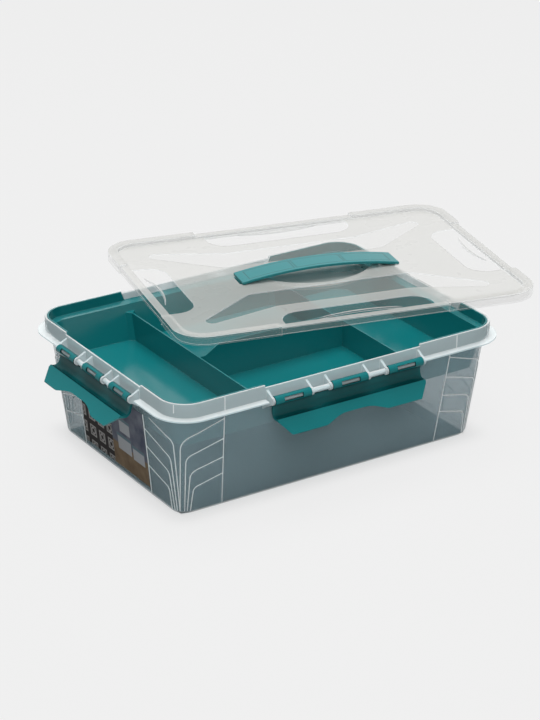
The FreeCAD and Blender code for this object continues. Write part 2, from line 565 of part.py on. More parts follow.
def make_lid():
    body = new_body("lid")
    outline = ring_sketch(body, "lid_outline", "0", LID_LENGTH, LID_WIDTH, LID_RADIUS)
    extrude(body, "Pad", "lid_block", outline, "lid_height")
    hollow = ring_sketch(body, "skirt_inside", "0", f"{SIDE_LENGTH} - lid_wall", f"{SIDE_WIDTH} - lid_wall",
                         f"{LID_RADIUS} - corner_outset - lid_wall")
    extrude(body, "Pocket", "under_border", hollow, BORDER_UNDER, backwards=True)
    sides = new_sketch(body, "side_trim_outline", "XY_Plane")
    four_sides(sides, LONG_BAY, SHORT_BAY, SIDE_LENGTH, f"{LID_LENGTH} + corner_outset",
               SIDE_WIDTH, f"{LID_WIDTH} + corner_outset")
    extrude(body, "Pocket", "side_trim", sides)
    lower = new_sketch(body, "low_border_outline", "XY_Plane", f"{BORDER_UNDER} - border_drop")
    four_sides(lower, f"({LONG_BAY} + lid_wall)", f"({SHORT_BAY} + lid_wall)", f"{PAN_LENGTH} - lid_wall",
               SIDE_LENGTH, f"{PAN_WIDTH} - lid_wall", SIDE_WIDTH)
    extrude(body, "Pad", "low_border", lower, "lid_wall + border_drop")
    pan = ring_sketch(body, "pan_outline", PLATE_UNDER, PAN_LENGTH, PAN_WIDTH, PAN_RADIUS)
    extrude(body, "Pad", "pan", pan, f"lid_height - {PLATE_UNDER}")
    notch = new_sketch(body, "border_notch_outline", "XY_Plane", "lid_height")
    four_sides(notch, LONG_BAY, SHORT_BAY, f"{PAN_LENGTH} - lid_wall", f"{SIDE_LENGTH} + corner_outset",
               f"{PAN_WIDTH} - lid_wall", f"{SIDE_WIDTH} + corner_outset")
    extrude(body, "Pocket", "border_notch", notch, "border_drop")
    dish = ring_sketch(body, "dish_outline", "lid_height", f"{PAN_LENGTH} - lid_wall",
                       f"{PAN_WIDTH} - lid_wall", f"{PAN_RADIUS} - lid_wall")
    extrude(body, "Pocket", "dish", dish, "plate_drop")
    bows = new_sketch(body, "bow_outlines", "XY_Plane", PLATE_TOP)
    for way in ("-", ""):
        bow_outline(bows, way)
    extrude(body, "Pocket", "bows", bows, "hollow_depth")
    pockets = new_sketch(body, "pocket_outlines", "XY_Plane", PLATE_TOP)
    pocket_outlines(pockets)
    extrude(body, "Pocket", "finger_pockets", pockets, "hollow_depth")
    catches = new_sketch(body, "catch_outlines", "XY_Plane", f"{PLATE_TOP} - hollow_depth")
    for sign in ("-", ""):
        edge = f"{sign}({PAN_WIDTH} - lid_wall - catch_inset)"
        two_arcs(catches, "catch_half", edge, [f"{sign}(catch_width - catch_bow)", f"{sign}(-catch_bow)"])
        edge = f"{sign}({PAN_LENGTH} - lid_wall - catch_inset)"
        two_arcs(catches, "(catch_half * catch_share)", edge,
                 [f"{sign}(catch_width - catch_bow)", f"{sign}(-catch_bow)"], True)
    extrude(body, "Pad", "catches", catches, "hollow_depth + catch_rise")
    shell = new_sketch(body, "well_shell_outline", "XY_Plane", f"{PLATE_UNDER} - well_depth")
    two_arcs(shell, "(well_half + lid_wall)", "0", ["(well_reach + lid_wall)", "-(well_reach + lid_wall)"])
    extrude(body, "Pad", "well_shell", shell, "well_depth")
    well = new_sketch(body, "well_outline", "XY_Plane", PLATE_TOP)
    two_arcs(well, "well_half", "0", ["well_reach", "-well_reach"])
    extrude(body, "Pocket", "well", well, "well_depth")
    slots = new_sketch(body, "slot_outlines", "XY_Plane")
    for sign in ("-", ""):
        middle = f"{sign}{SLOT_PLACE}"
        half = "(tongue_length / 2 + slot_play + slot_side_gap)"
        across = "(tongue_width / 2 + slot_side_gap)"
        rectangle(slots, f"{middle} - {half}", f"-{across}", f"{middle} + {half}", across)
    extrude(body, "Pocket", "handle_slots", slots)
    return body


# Strap handle, drawn in the lid's own frame

def make_handle():
    body = new_body("carry_handle")
    seat = f"({PLATE_TOP} + handle_seat_gap)"
    radius = "((handle_half * handle_half + handle_rise * handle_rise) / (2 * handle_rise))"
    strap = new_sketch(body, "strap_outline", "XZ_Plane")
    rise = value("handle_rise")
    half = value("handle_half")
    low = value(seat)
    thick = value("handle_wall")
    under = strap.addGeometry(Part.Arc(point("-handle_half", seat), FreeCAD.Vector(0, low + rise, 0),
                                       point("handle_half", seat)))
    over = strap.addGeometry(Part.Arc(FreeCAD.Vector(-half, low + thick, 0),
                                      FreeCAD.Vector(0, low + thick + rise, 0),
                                      FreeCAD.Vector(half, low + thick, 0)))
    ends = {}
    for sign in (-1, 1):
        start = FreeCAD.Vector(sign * half, low, 0)
        ends[sign] = strap.addGeometry(Part.LineSegment(start, start + FreeCAD.Vector(0, thick, 0)))
    for arc, end in ((under, 1), (over, 2)):
        strap.addConstraint(Sketcher.Constraint("Coincident", ends[-1], end, arc, 2))
        strap.addConstraint(Sketcher.Constraint("Coincident", ends[1], end, arc, 1))
    for sign in (-1, 1):
        pin(strap, ends[sign], 1, f"{sign} * handle_half", seat)
        pin(strap, ends[sign], 2, f"{sign} * handle_half", f"{seat} + handle_wall")
    for arc in (under, over):
        bind(strap, "Radius", arc, radius)
    extrude(body, "Pad", "strap", strap, "handle_width", True)
    tongues = new_sketch(body, "tongue_outline", "XZ_Plane")
    foot_top = f"({PLATE_UNDER} - foot_gap)"
    for sign in (-1, 1):
        inner = f"{sign} * ({SLOT_PLACE} - tongue_length / 2)"
        outer = f"{sign} * ({SLOT_PLACE} + tongue_length / 2)"
        toe = f"{sign} * ({SLOT_PLACE} - tongue_length / 2 - slot_play - foot_length)"
        polygon(tongues, [
            (outer, f"{seat} + handle_wall / 2"), (inner, f"{seat} + handle_wall / 2"), (inner, foot_top),
            (toe, foot_top), (toe, f"{foot_top} - foot_thickness"), (outer, f"{foot_top} - foot_thickness"),
        ])
    extrude(body, "Pad", "tongues", tongues, "tongue_width", True)
    return body


# Latches, drawn hanging about their hinge axis, which runs along X with the outside towards -Y

def make_latch(label, length, knuckle):
    body = new_body(label)
    outline = new_sketch(body, "section", "YZ_Plane")
    inner_foot = "(ridge_drop + latch_wall * 1.5)"
    rounded_polygon(outline, [
        ("back_set + latch_wall / 2", "-bar_radius", "latch_wall / 4"),
        ("back_set - latch_wall / 2", "-bar_radius", "latch_wall / 4"),
        ("back_set - latch_wall / 2", "-(trough_drop - latch_wall / 2)", "trough_radius"),
        ("-ridge_out", "-ridge_drop", "latch_wall / 4"),
        ("-(tab_out + latch_wall / 2)", "-(tab_drop - latch_wall / 2)", "latch_wall / 3"),
        ("-(tab_out - latch_wall / 2)", "-(tab_drop + latch_wall / 4)", "latch_wall / 3"),
        ("-(ridge_out - latch_wall / 2)", f"-{inner_foot}", "latch_wall"),
        ("back_set + latch_wall / 2", "-(trough_drop + latch_wall)", "trough_radius + latch_wall"),
    ])
    extrude(body, "Pad", "hook", outline, length, True)
    ring = new_sketch(body, "knuckle_outline", "YZ_Plane")
    circle(ring, "0", "0", "knuckle_radius")
    extrude(body, "Pad", "knuckles", ring, length, True)
    gaps = new_sketch(body, "gap_outline", "XZ_Plane")
    clear = "(knuckle_radius + hinge_play)"
    for sign in (-1, 1):
        rectangle(gaps, f"{sign} * {knuckle} / 2", f"-{clear}", f"{sign} * ({length} / 2 - {knuckle})", clear)
    extrude(body, "Pocket", "gaps", gaps)
    bore = new_sketch(body, "bore_outline", "YZ_Plane")
    circle(bore, "0", "0", "bar_radius + bar_clearance")
    extrude(body, "Pocket", "bore", bore)
    windows = new_sketch(body, "window_outline", "XZ_Plane", "2 * knuckle_radius")
    for step in (-1, 0, 1):
        middle = f"{step} * ({length} - {knuckle}) / 2"
        rectangle(windows, f"{middle} - window_share * {knuckle} / 2", "-window_height / 3",
                  f"{middle} + window_share * {knuckle} / 2", "window_height * 2 / 3")
    extrude(body, "Pocket", "windows", windows, "2 * knuckle_radius")
    trim = new_sketch(body, "tab_trim_outline", "XZ_Plane")
    shoulder = "-(ridge_drop + latch_wall)"
    edge = "-(tab_drop + latch_wall / 4)"
    right = [
        (f"{length}", "-2 * tab_drop", "latch_wall"),
        (f"{length}", shoulder, "latch_wall"),
        (f"{length} / 2", shoulder, "latch_wall"),
        (f"{length} / 2 - tab_inset", edge, "tab_round"),
        ("scallop_half", edge, "scallop_sweep"),
        ("scallop_floor", f"{edge} + scallop_depth", "scallop_sweep"),
    ]
    left = [(f"-({x})", y, radius) for x, y, radius in right[::-1]]
    rounded_polygon(trim, right + left)
    extrude(body, "Pocket", "tab_trim", trim)
    return body


# Label

def make_label():
    body = new_body("side_label")
    face = new_sketch(body, "label_outline", "XY_Plane")
    height = f"({LEDGE} - label_margin)"
    rectangle(face, "-label_width / 2", "label_bottom", "label_width / 2", f"label_bottom + {height}")
    extrude(body, "Pad", "paper", face, "label_thickness")
    return body


# Places

def turned(axis, degrees):
    return FreeCAD.Rotation(FreeCAD.Vector(*axis), degrees)


def latch_place(heading, face, lift):
    """Where a latch hangs: heading turns the front of the box to the latch's own side."""
    heading_turn = turned((0, 0, 1), heading)
    out = value(f"{face} + hinge_offset")
    base = heading_turn.multVec(FreeCAD.Vector(0, -out, value(HINGE)))
    return FreeCAD.Placement(base, heading_turn * turned((1, 0, 0), -lift))


def label_place():
    """On the left wall, which leans out from the foot to the ledge."""
    lean_out = value("end_lean")
    lean_up = value(f"{LEDGE} - foot_bevel")
    lean = math.degrees(math.atan2(lean_out, lean_up))
    upright = FreeCAD.Rotation(FreeCAD.Vector(0, -1, 0), FreeCAD.Vector(0, 0, 1),
                               FreeCAD.Vector(-1, 0, 0), "XYZ")
    leaning = turned((0, 1, 0), -lean) * upright
    normal = leaning.multVec(FreeCAD.Vector(0, 0, 1))
    foot = FreeCAD.Vector(-value(FOOT_HALF_LENGTH), 0, value("foot_bevel"))
    return FreeCAD.Placement(foot + normal * value("label_gap"), leaning)


def lid_place():
    """The lid lies on three points: the back rim, the right rim and the rim's back right corner."""
    shift_x = value(f"lid_aside * {HALF_LENGTH}")
    shift_y = value(f"lid_behind * {HALF_WIDTH}")
    turn = math.radians(value("lid_turn"))
    cosine = math.cos(turn)
    sine = math.sin(turn)
    gap = value("lid_rest_gap")
    skirt_left = value(f"-{SIDE_LENGTH} + lid_wall")
    skirt_front = value(f"-{LID_WIDTH} + lid_wall")
    back = value(f"{HALF_WIDTH} - wall / 2")
    right = value(f"{HALF_LENGTH} - wall / 2")
    along_left = (back - shift_y - skirt_left * sine) / cosine
    on_back = FreeCAD.Vector(shift_x + skirt_left * cosine - along_left * sine, back,
                             value("box_height - rim_drop") + gap)
    along_front = (right - shift_x + skirt_front * sine) / cosine
    on_right = FreeCAD.Vector(right, shift_y + along_front * sine + skirt_front * cosine,
                              value("box_height") + gap)
    bend = value("collar_radius * (1 - sqrt(0.5))")
    on_corner = FreeCAD.Vector(value(HALF_LENGTH) - bend, value(HALF_WIDTH) - bend,
                               value(f"box_height - {PLATE_UNDER}") + gap)
    normal = (on_right - on_back).cross(on_corner - on_back).normalize()
    height = on_back.z - (normal.x * (shift_x - on_back.x) + normal.y * (shift_y - on_back.y)) / normal.z
    tilt = FreeCAD.Rotation(FreeCAD.Vector(0, 0, 1), normal)
    middle = FreeCAD.Vector(shift_x, shift_y, height)
    return FreeCAD.Placement(middle, tilt * turned((0, 0, 1), math.degrees(turn)))


tub = make_tub()
tray = make_tray()
lid = make_lid()
handle = make_handle()
label = make_label()
lid.Placement = lid_place()
handle.Placement = lid_place()
label.Placement = label_place()
pieces = [tub, tray, lid, handle, label]
side_lift = value("side_latch_lift")
for name, heading, face, length, knuckle, lift in (
        ("front_latch", 0, HALF_WIDTH, "long_latch", "long_knuckle", 0),
        ("back_latch", 180, HALF_WIDTH, "long_latch", "long_knuckle", 0),
        ("left_latch", -90, HALF_LENGTH, "short_latch", "short_knuckle", side_lift),
        ("right_latch", 90, HALF_LENGTH, "short_latch", "short_knuckle", side_lift)):
    latch = make_latch(name, length, knuckle)
    latch.Placement = latch_place(heading, face, lift)
    pieces.append(latch)
doc.recompute()

# Every object has to be sound, and every feature has to have changed its piece, before anything is written.
for item in doc.Objects:
    if "Invalid" in item.State or "Error" in item.State:
        raise RuntimeError(f"{item.Label} failed: {item.State}")
for piece in pieces:
    volume = 0
    for item in piece.Group:
        if not item.isDerivedFrom("PartDesign::Feature") or item.Shape.isNull():
            continue
        if item.isDerivedFrom("PartDesign::Transformed") and item not in [piece.Tip] and not item.BaseFeature:
            continue
        cuts = item.TypeId in ("PartDesign::Pocket", "PartDesign::SubtractiveLoft")
        if cuts and item.Shape.Volume > volume - 1e-6:
            raise RuntimeError(f"{item.Label} cuts nothing")
        volume = item.Shape.Volume
    if piece.Shape.isNull() or not piece.Shape.isValid() or len(piece.Shape.Solids) != 1:
        raise RuntimeError(f"{piece.Label} is not one sound solid")

os.makedirs("parts", exist_ok=True)
for piece in pieces:
    piece.Shape.exportStep(f"parts/{piece.Label}.step")
    box = piece.Shape.BoundBox
    print(f"{piece.Label}: {piece.Shape.Volume / 1000:.1f} cm3, "
          f"x {box.XMin:.1f} to {box.XMax:.1f}, y {box.YMin:.1f} to {box.YMax:.1f}, "
          f"z {box.ZMin:.1f} to {box.ZMax:.1f}")
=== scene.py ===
# %% [markdown]
# A latch box for crafts and small parts: a milky see-through tub and lid, a teal lift-out tray, four teal
# latches and a teal strap handle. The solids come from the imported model, so every piece starts where the
# real moulding is. This lesson gives them soft edges, their plastics, the fine lines that the mould leaves
# on the corners and a printed label, and then the light and the camera.

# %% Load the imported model
import json
import math

import bmesh
import bpy
from mathutils import Matrix, Vector

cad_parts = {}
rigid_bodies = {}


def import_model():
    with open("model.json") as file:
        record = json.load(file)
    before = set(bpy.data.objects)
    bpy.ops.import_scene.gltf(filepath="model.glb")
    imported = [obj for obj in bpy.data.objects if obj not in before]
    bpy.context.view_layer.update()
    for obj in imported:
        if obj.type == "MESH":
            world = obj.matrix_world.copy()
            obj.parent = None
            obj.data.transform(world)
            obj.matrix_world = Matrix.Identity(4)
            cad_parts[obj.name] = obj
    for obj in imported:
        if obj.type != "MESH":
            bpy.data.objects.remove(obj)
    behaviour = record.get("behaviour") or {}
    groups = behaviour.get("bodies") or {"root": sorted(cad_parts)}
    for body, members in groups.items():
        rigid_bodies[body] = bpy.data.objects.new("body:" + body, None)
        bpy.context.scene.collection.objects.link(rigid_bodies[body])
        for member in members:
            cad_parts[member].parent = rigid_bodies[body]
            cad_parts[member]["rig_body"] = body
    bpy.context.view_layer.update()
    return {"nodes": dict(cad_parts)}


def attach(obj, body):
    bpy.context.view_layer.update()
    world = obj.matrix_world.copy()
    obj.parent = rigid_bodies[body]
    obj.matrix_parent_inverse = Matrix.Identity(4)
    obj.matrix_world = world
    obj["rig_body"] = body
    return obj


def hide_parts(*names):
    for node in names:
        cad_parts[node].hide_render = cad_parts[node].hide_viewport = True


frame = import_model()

MM = 0.001
scene = bpy.context.scene
scene.view_settings.view_transform = "Standard"
print("nodes:", sorted(frame["nodes"]))

# %% [markdown]
# The camera stands where the photograph was taken from. Its place, direction and focal length come from
# fitting the box's own outline, so the object needs no fitting to the picture. It could be placed by eye,
# but a fitted camera lets every edge be compared. A vertical sensor keeps the lens true to the tall frame.

# %% Camera
CAMERA_PLACE = Vector((-1.2524, -1.9677, 1.1240))
CAMERA_AIM = Vector((0.491, 0.769, -0.409))
SENSOR_HEIGHT_MM = 24
LENS_MM = 84.99
camera_data = bpy.data.cameras.new("camera")
camera_data.sensor_fit = "VERTICAL"
camera_data.sensor_height = SENSOR_HEIGHT_MM
camera_data.lens = LENS_MM
camera = bpy.data.objects.new("camera", camera_data)
camera.location = CAMERA_PLACE
camera.rotation_euler = CAMERA_AIM.to_track_quat("-Z", "Y").to_euler()
scene.collection.objects.link(camera)
scene.camera = camera
print("camera distance from the middle of the box:", round(CAMERA_PLACE.length, 2), "m")

# %% [markdown]
# Nodes can be placed by hand in the editor, but written nodes can be read and repeated. This small class
# writes them one line at a time, for materials and for Geometry Nodes alike: a given value is linked when
# it is a socket and set when it is a number.

# %% A way to write nodes


class NodeSketch:
    """The nodes and links of a tree, written one line at a time."""

    def __init__(self, tree):
        self.tree = tree
        self.nodes = tree.nodes
        self.links = tree.links

    def give(self, socket, given):
        if isinstance(given, bpy.types.NodeSocket):
            self.links.new(given, socket)
        else:
            socket.default_value = given

    def add(self, kind, inputs=None, **settings):
        node = self.nodes.new(kind)
        for name, setting in settings.items():
            setattr(node, name, setting)
        for name, given in (inputs or {}).items():
            self.give(node.inputs[name], given)
        return node

    def math(self, operation, first, second=0.0):
        return self.add("ShaderNodeMath", {0: first, 1: second}, operation=operation).outputs[0]

    def total(self, *terms):
        result = terms[0]
        for term in terms[1:]:
            result = self.math("ADD", result, term)
        return result

    def largest(self, *terms):
        result = terms[0]
        for term in terms[1:]:
            result = self.math("MAXIMUM", result, term)
        return result


# %% [markdown]
# A finish is a Principled shader whose colour and polish vary a little, because a moulding is never one
# flat colour: the melt flows in streaks, and handling polishes it unevenly. A very fine bump stands for the
# mould's grain. Milky polypropylene throws some light back and lets the rest through. True refraction or
# scattering inside the wall would give that too, with far more noise, so here an alpha below one lets light
# through each face. The light it holds back is a share of that alpha: less in the lid, whose shadow is
# pale, and more in the walls, which keep the inside dim.

# %% A moulded finish
NOISE_MIDDLE = (0.3, 0.7)
STREAK_SCALE = 7.0
STREAK_STRETCH = (1, 1, 2.5)
STREAK_ALPHA = 0.015
POLISH_SCALE = 30.0
GRAIN_SCALE = 1100.0
GRAIN_STRENGTH = 0.012
GRAIN_DEPTH = 0.2 * MM


class Finish(NodeSketch):
    """A material about one Principled shader."""

    def __init__(self, name):
        self.material = bpy.data.materials.new(name)
        self.material.use_nodes = True
        super().__init__(self.material.node_tree)
        self.shader = self.nodes["Principled BSDF"]

    def feed(self, name, given):
        self.give(self.shader.inputs[name], given)

    def mix_colour(self, share, low, high):
        node = self.add("ShaderNodeMix", {"Factor": share}, data_type="RGBA")
        for name, given in (("A", low), ("B", high)):
            self.give(next(s for s in node.inputs if s.name == name and s.type == "RGBA"), given)
        return next(s for s in node.outputs if s.type == "RGBA")

    def span(self, given, low, high, from_low=0.0, from_high=1.0):
        return self.add("ShaderNodeMapRange", {"Value": given, "From Min": from_low, "From Max": from_high,
                                               "To Min": low, "To Max": high}).outputs[0]

    def place(self):
        return self.add("ShaderNodeTexCoord").outputs["Object"]

    def noise(self, scale, detail=3.0, stretch=(1, 1, 1)):
        mapped = self.add("ShaderNodeMapping", {"Vector": self.place(), "Scale": stretch}).outputs[0]
        texture = self.add("ShaderNodeTexNoise", {"Vector": mapped, "Scale": scale, "Detail": detail})
        return texture.outputs["Fac"]

    def uneven(self, noise, low, high):
        """A noise spread from low to high, with its rare extremes cut off."""
        return self.span(noise, low, high, *NOISE_MIDDLE)

    def bump(self, height, strength, distance, lift=0.0):
        node = self.add("ShaderNodeBump", {"Height": height, "Strength": strength, "Distance": distance})
        if lift:
            normal = self.add("ShaderNodeNewGeometry").outputs["Normal"]
            raised = self.add("ShaderNodeVectorMath", {0: normal, 1: (0, 0, lift)}, operation="ADD")
            raised = self.add("ShaderNodeVectorMath", {0: raised.outputs[0]}, operation="NORMALIZE")
            self.give(node.inputs["Normal"], raised.outputs[0])
        self.feed("Normal", node.outputs[0])


def moulded(name, dark, light, roughness, alpha=1.0, specular=0.5, shadow=0.15, lift=0.0):
    """A moulded plastic between two colours, with flow streaks, uneven polish and fine grain.

    The alpha counts for what is seen, and the shadow share of it for the light that is held back. The lift
    leans the shading upwards, for the light from above that runs along inside a milky wall and comes out at
    its ribs and rims.
    """
    finish = Finish(name)
    streaks = finish.uneven(finish.noise(STREAK_SCALE, stretch=STREAK_STRETCH), 0, 1)
    finish.colour = finish.mix_colour(streaks, (*dark, 1), (*light, 1))
    finish.feed("Base Color", finish.colour)
    finish.feed("Roughness", finish.uneven(finish.noise(POLISH_SCALE), roughness - 0.02, roughness + 0.03))
    finish.feed("Specular IOR Level", specular)
    if alpha < 1:
        look = finish.span(streaks, alpha - STREAK_ALPHA, alpha + STREAK_ALPHA)
        shadow_ray = finish.add("ShaderNodeLightPath").outputs["Is Shadow Ray"]
        finish.feed("Alpha", finish.math("MULTIPLY", look, finish.span(shadow_ray, 1, shadow)))
    finish.bump(finish.noise(GRAIN_SCALE, 2.0), GRAIN_STRENGTH, GRAIN_DEPTH, lift)
    print(name, "alpha", alpha)
    return finish


# %% [markdown]
# The tray is plain teal. The latches have the same teal with painted shade in their troughs, and the strap
# a lighter teal that is painted sheen, both in finishes of their own further on. The milky plastic needs
# several strengths: walls are thin and clear, the collar is painted paler for light it gathers from above,
# the lid's plate is thicker, its hollows are thinner, and every edge is seen along the plastic, which makes
# it look white. One mixed material could find the edges by angle, but that would slide as the view turns, so
# the edges get a finish of their own.

# %% The plastics
TEAL_DARK = (0.006, 0.172, 0.184)
TEAL_LIGHT = (0.007, 0.184, 0.196)
TEAL_ROUGHNESS = 0.15
WALL_DARK = (0.32, 0.46, 0.51)
WALL_LIGHT = (0.36, 0.50, 0.55)
# Painted light: the collar's colours are paler than the walls' for light from above that gathers in the rim.
PAINTED_LIGHT_RIM_DARK = (0.72, 0.86, 0.89)
PAINTED_LIGHT_RIM_PALE = (0.76, 0.89, 0.92)
EDGE_DARK = (0.80, 0.83, 0.83)
EDGE_LIGHT = (0.84, 0.87, 0.87)
LID_DARK = (0.58, 0.58, 0.555)
LID_LIGHT = (0.61, 0.61, 0.585)
LID_SPECULAR = 0.12
LID_ROUGHNESS_ALPHA = {"plate": (0.28, 0.56), "underside": (0.28, 0.05), "skirt": (0.26, 0.16),
                       "bow": (0.26, 0.24), "pocket": (0.24, 0.05), "well": (0.24, 0.40)}
teal = moulded("teal_plastic", TEAL_DARK, TEAL_LIGHT, TEAL_ROUGHNESS).material
wall_milk = moulded("milky_wall", WALL_DARK, WALL_LIGHT, 0.24,
                    alpha=0.38, specular=0.10, shadow=1.3, lift=0.1).material
# The collar's finish carries that painted light.
collar_milk_painted_light = moulded("milky_collar_painted_light", PAINTED_LIGHT_RIM_DARK, PAINTED_LIGHT_RIM_PALE, 0.22,
                      alpha=0.55, specular=0.15, shadow=0.6, lift=1.2).material
edge_milk = moulded("milky_edge", EDGE_DARK, EDGE_LIGHT, 0.26, alpha=0.68, specular=0.3, lift=0.4).material
lid_milks = {}
for name, (roughness, alpha) in LID_ROUGHNESS_ALPHA.items():
    lid_milks[name] = moulded(f"milky_{name}", LID_DARK, LID_LIGHT, roughness, alpha, LID_SPECULAR).material

# %% [markdown]
# The solids have knife edges, and no moulding has those. A merged copy of each solid gets a narrow bevel on
# every sharp edge, so that edges catch the light, and smooth shading across its round faces. Clamping would
# shrink all bevels of a piece to its shortest edge, so it is off: each width stays under half the narrowest
# step of its piece, and edges too short to bevel are merged away first. The copy stands for the solid and
# rides on the solid's own body.

# %% Rounded copies of the solids
BEVEL_ANGLE = math.radians(32)
SHADING_ANGLE = math.radians(50)
FLAT_ANGLE = math.radians(0.6)
SAME_POINT = 1e-6


def apply_modifiers(piece):
    """Turns what an object's modifiers make into its own plain mesh."""
    made = piece.evaluated_get(bpy.context.evaluated_depsgraph_get())
    piece.data = bpy.data.meshes.new_from_object(made)
    piece.modifiers.clear()


def rounded_copy(node, name, material, width, edge_material=None, merge=0.0):
    """A merged copy of a solid with its sharp edges rounded, in the solid's place."""
    mesh = frame["nodes"][node].data.copy()
    piece = bpy.data.objects.new(name, mesh)
    scene.collection.objects.link(piece)
    work = bmesh.new()
    work.from_mesh(mesh)
    bmesh.ops.remove_doubles(work, verts=work.verts, dist=SAME_POINT)
    bmesh.ops.dissolve_limit(work, angle_limit=FLAT_ANGLE, verts=work.verts, edges=work.edges)
    if merge:
        bmesh.ops.remove_doubles(work, verts=work.verts, dist=merge)
        bmesh.ops.dissolve_degenerate(work, dist=merge, edges=work.edges)
    work.to_mesh(mesh)
    work.free()
    if mesh.has_custom_normals:
        mesh.normals_split_custom_set([(0, 0, 0)] * len(mesh.loops))
    mesh.shade_smooth()
    mesh.materials.clear()
    mesh.materials.append(material)
    bevel = piece.modifiers.new("edge", "BEVEL")
    bevel.width = width
    bevel.segments = 2
    bevel.limit_method = "ANGLE"
    bevel.angle_limit = BEVEL_ANGLE
    bevel.use_clamp_overlap = False
    bevel.miter_outer = "MITER_ARC"
    if edge_material:
        mesh.materials.append(edge_material)
        bevel.material = 1
    apply_modifiers(piece)
    piece.data.set_sharp_from_angle(angle=SHADING_ANGLE)
    flat = piece.modifiers.new("flat_faces", "WEIGHTED_NORMAL")
    flat.mode = "FACE_AREA"
    flat.weight = 100
    flat.keep_sharp = True
    apply_modifiers(piece)
    piece.data.name = name
    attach(piece, frame["nodes"][node]["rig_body"])
    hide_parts(node)
    print(name, "faces:", len(piece.data.polygons))
    return piece


# %% [markdown]
# The tub is one moulding of milky plastic, and the tray is one of teal. The tub's walls are thin and clear.
# Its faces above the ledge belong to the collar, which is thicker. Its paler colour is painted light, for
# the light from above that gathers in the rim, and its level faces look white like edges. Two meshes could
# carry the two looks, but the real tub is one piece, so its faces get different finishes.

# %% The tub and the tray
LEDGE_LEVEL = 109.5 * MM
LEVEL_FACE = 0.9
tub = rounded_copy("box_body", "tub", wall_milk, 0.25 * MM, edge_milk)
tub.data.materials.append(collar_milk_painted_light)
for face in tub.data.polygons:
    if face.material_index == 0 and face.center.z > LEDGE_LEVEL:
        face.material_index = 1 if face.normal.z > LEVEL_FACE else 2
tray = rounded_copy("insert_tray", "tray", teal, 0.2 * MM)

# %% [markdown]
# The latches are stiff hooks that turn on bars along the rim. Their windows and scallops come from the
# solids. The shortest edges, where a round meets a window, are a hundredth of a millimetre long, so they
# are merged before the bevel. The trough behind each tab is narrow and gathers shade, and that shade is
# painted into the latches' colour. A darker paint there would do, but an occlusion node finds such places
# by itself: its painted shade deepens the teal where the latch closes in on itself or on the wall.

# %% The latches
SHADE_REACH = 28 * MM
SHADE_DEPTH = 2.6
# Painted shade: the latches' troughs and creases are darkened towards this deep teal by the occlusion below.
PAINTED_SHADE_TEAL = (0.001, 0.018, 0.020, 1)
latch_with_painted_shade = moulded("teal_latch_painted_shade", TEAL_DARK, TEAL_LIGHT, TEAL_ROUGHNESS, specular=0.12)
# Painted shade: the occlusion darkens the base colour itself where the latch closes in.
occlusion = latch_with_painted_shade.add("ShaderNodeAmbientOcclusion", {"Distance": SHADE_REACH}, samples=8)
openness = latch_with_painted_shade.math("POWER", occlusion.outputs["AO"], SHADE_DEPTH)
latch_with_painted_shade.feed("Base Color", latch_with_painted_shade.mix_colour(openness, PAINTED_SHADE_TEAL, latch_with_painted_shade.colour))
for side in ("front", "back", "left", "right"):
    clip = rounded_copy(f"{side}_latch", f"{side}_clip", latch_with_painted_shade.material, 0.12 * MM, merge=0.04 * MM)

# %% [markdown]
# The lid lies askew, so its levels are measured along its own normal. Faces on the floor of a hollow are
# thin plastic and get the clearest finish, the flat underside gets a light one, and the rest is the plate's
# own. Modelled thickness alone would not show, because alpha counts faces, not millimetres.

# %% The lid
LID_MIDDLE = Vector((0.105506, 0.0689975, 0.123529))
LID_ALONG = Vector((0.974365, -0.224966, -0.00175)).normalized()
LID_UP = Vector((0.005675, 0.016804, 0.999843)).normalized()
HOLLOW_LEVEL = 4.7 * MM
WELL_LEVEL = 0.5 * MM
LEVEL_SLACK = 0.1 * MM
POCKETS_FROM_ALONG = 140 * MM
POCKETS_FROM_ACROSS = 95 * MM
FLAT_FACE = 0.95
STEEP_FACE = 0.5
FINISH_NAMES = ("bow", "pocket", "well", "underside", "skirt")
lid_across = LID_UP.cross(LID_ALONG)


def lid_finish(face):
    """Which of the lid's finishes a face gets, by where it lies in the lid's own frame."""
    out = face.center - LID_MIDDLE
    along, across, level = (out.dot(axis) for axis in (LID_ALONG, lid_across, LID_UP))
    facing = face.normal.dot(LID_UP)
    if facing > FLAT_FACE and abs(level - HOLLOW_LEVEL) < LEVEL_SLACK:
        at_rim = abs(across) > POCKETS_FROM_ACROSS or abs(along) > POCKETS_FROM_ALONG
        return "pocket" if at_rim else "bow"
    if facing > FLAT_FACE and abs(level - WELL_LEVEL) < LEVEL_SLACK:
        return "well"
    if facing < -FLAT_FACE:
        return "underside"
    if abs(facing) < STEEP_FACE:
        return "skirt"
    return None


cover = rounded_copy("lid", "cover", lid_milks["plate"], 0.25 * MM, edge_milk)
for name in FINISH_NAMES:
    cover.data.materials.append(lid_milks[name])
counts = dict.fromkeys(FINISH_NAMES, 0)
for face in cover.data.polygons:
    found = lid_finish(face)
    if face.material_index == 0 and found:
        face.material_index = 2 + FINISH_NAMES.index(found)
        counts[found] += 1
print("lid faces:", counts)

# %% [markdown]
# The strap is a springy teal arch. Its teal is lighter than the tray's, and that is painted sheen, for the
# light from above that its top catches. Its top carries three long panels, each outlined by a fine groove.
# Grooves this shallow could be cut in the mesh, but a bump and a darker line of painted shade drawn in the
# lid's own frame stay sharp at any distance. A Mapping node of the Texture kind turns the object's
# coordinates into that frame.

# %% The strap handle
PANEL_HALF_WIDTH = 10.6 * MM
MIDDLE_PANEL = 26 * MM
END_PANEL_MIDDLE = 53 * MM
END_PANEL = 24.5 * MM
GROOVE = 0.45 * MM
